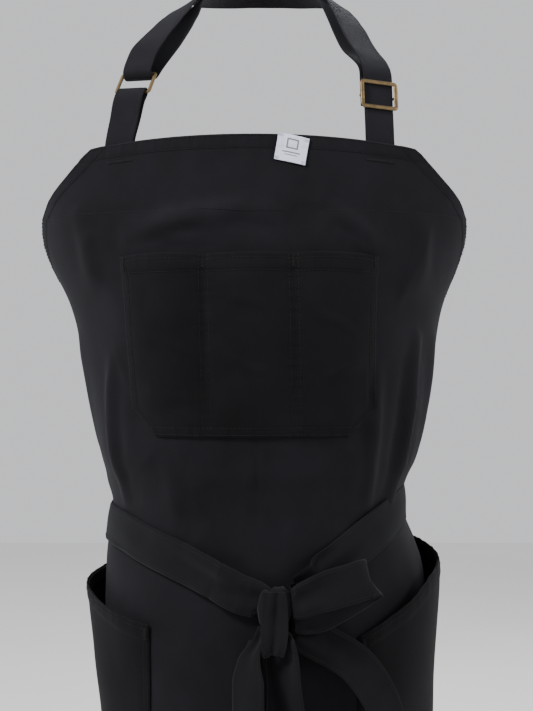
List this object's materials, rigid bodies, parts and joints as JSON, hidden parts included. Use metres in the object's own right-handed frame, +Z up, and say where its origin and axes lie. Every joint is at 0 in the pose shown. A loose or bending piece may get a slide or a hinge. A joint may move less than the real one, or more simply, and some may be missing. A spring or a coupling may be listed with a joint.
{
  "type": "artist smock apron",
  "caption": "Black full-coverage twill apron with wide wrapped bib, divided chest pocket, slanted hip pockets, neck strap with metal ring and slider, and waist ties in a front bow",
  "frame": {"origin": "middle of the neck loop, level with its highest point, where the garment hangs from the neck", "axes": "+Z up, -Y the wearer's front, +X the wearer's left"},
  "size_m": [0.3485, 0.264, 0.9808],
  "materials": {
    "body_twill": "matte cotton twill",
    "strap_twill": "matte folded twill strap",
    "tie_twill": "matte folded twill tie",
    "thread": "dense stitching",
    "woven_label": "white woven damask",
    "antique_brass": "brushed antique brass"
  },
  "bodies": {
    "garment": {"armhole_hem_left": "body_twill", "armhole_hem_right": "body_twill", "bartack_chest_1": "thread", "bartack_chest_2": "thread", "bartack_chest_3": "thread", "bartack_chest_4": "thread", "bartack_hip_left": "thread", "bartack_hip_right": "thread", "bartack_strap_left": "thread", "bartack_strap_right": "thread", "bartack_tie_left": "thread", "bartack_tie_right": "thread", "bib_facing": "body_twill", "bottom_hem": "body_twill", "chest_pocket": "body_twill", "chest_pocket_hem_left": "body_twill", "chest_pocket_hem_middle": "body_twill", "chest_pocket_hem_right": "body_twill", "front_panel": "body_twill", "hip_pocket_hem_left": "body_twill", "hip_pocket_hem_right": "body_twill", "hip_pocket_left": "body_twill", "hip_pocket_right": "body_twill", "knot": "tie_twill", "knot_wrap": "tie_twill", "label": "woven_label", "neck_strap": "strap_twill", "side_hem_left": "body_twill", "side_hem_right": "body_twill", "strap_stub": "strap_twill", "waist_tie_left": "tie_twill", "waist_tie_right": "tie_twill"},
    "ring": {"ring": "antique_brass"},
    "slider": {"slider_frame": "antique_brass", "slider_bar": "antique_brass", "strap_end_tab": "strap_twill"},
    "bow_loop_right": {"bow_loop_right": "tie_twill"},
    "bow_loop_left": {"bow_loop_left": "tie_twill"},
    "tie_end_centre": {"tie_end_centre": "tie_twill"},
    "tie_end_right": {"tie_end_right": "tie_twill"}
  },
  "joints": [
    {"name": "slider_travel", "type": "slide", "parent": "garment", "child": "slider", "axis": [-0.02, 0.2401, 0.9705], "range_m": [-0.022, 0.002]},
    {"name": "ring_rock", "type": "hinge", "parent": "garment", "child": "ring", "pos_m": [-0.0983, -0.068, -0.1125], "axis": [0.9416, -0.3361, -0.0195], "range_deg": [0, 8]},
    {"name": "loop_swing", "type": "hinge", "parent": "garment", "child": "bow_loop_right", "pos_m": [0.0293, -0.1408, -0.512], "axis": [0, 0, -1], "range_deg": [0, 30]},
    {"name": "left_loop_lift", "type": "hinge", "parent": "garment", "child": "bow_loop_left", "pos_m": [0, -0.1425, -0.546], "axis": [-1, 0, 0], "range_deg": [0, 20]},
    {"name": "centre_end_lift", "type": "hinge", "parent": "garment", "child": "tie_end_centre", "pos_m": [0.021, -0.139, -0.546], "axis": [-1, 0, 0], "range_deg": [0, 22]},
    {"name": "right_end_lift", "type": "hinge", "parent": "garment", "child": "tie_end_right", "pos_m": [0.03, -0.126, -0.536], "axis": [-1, 0, 0], "range_deg": [0, 16]}
  ]
}
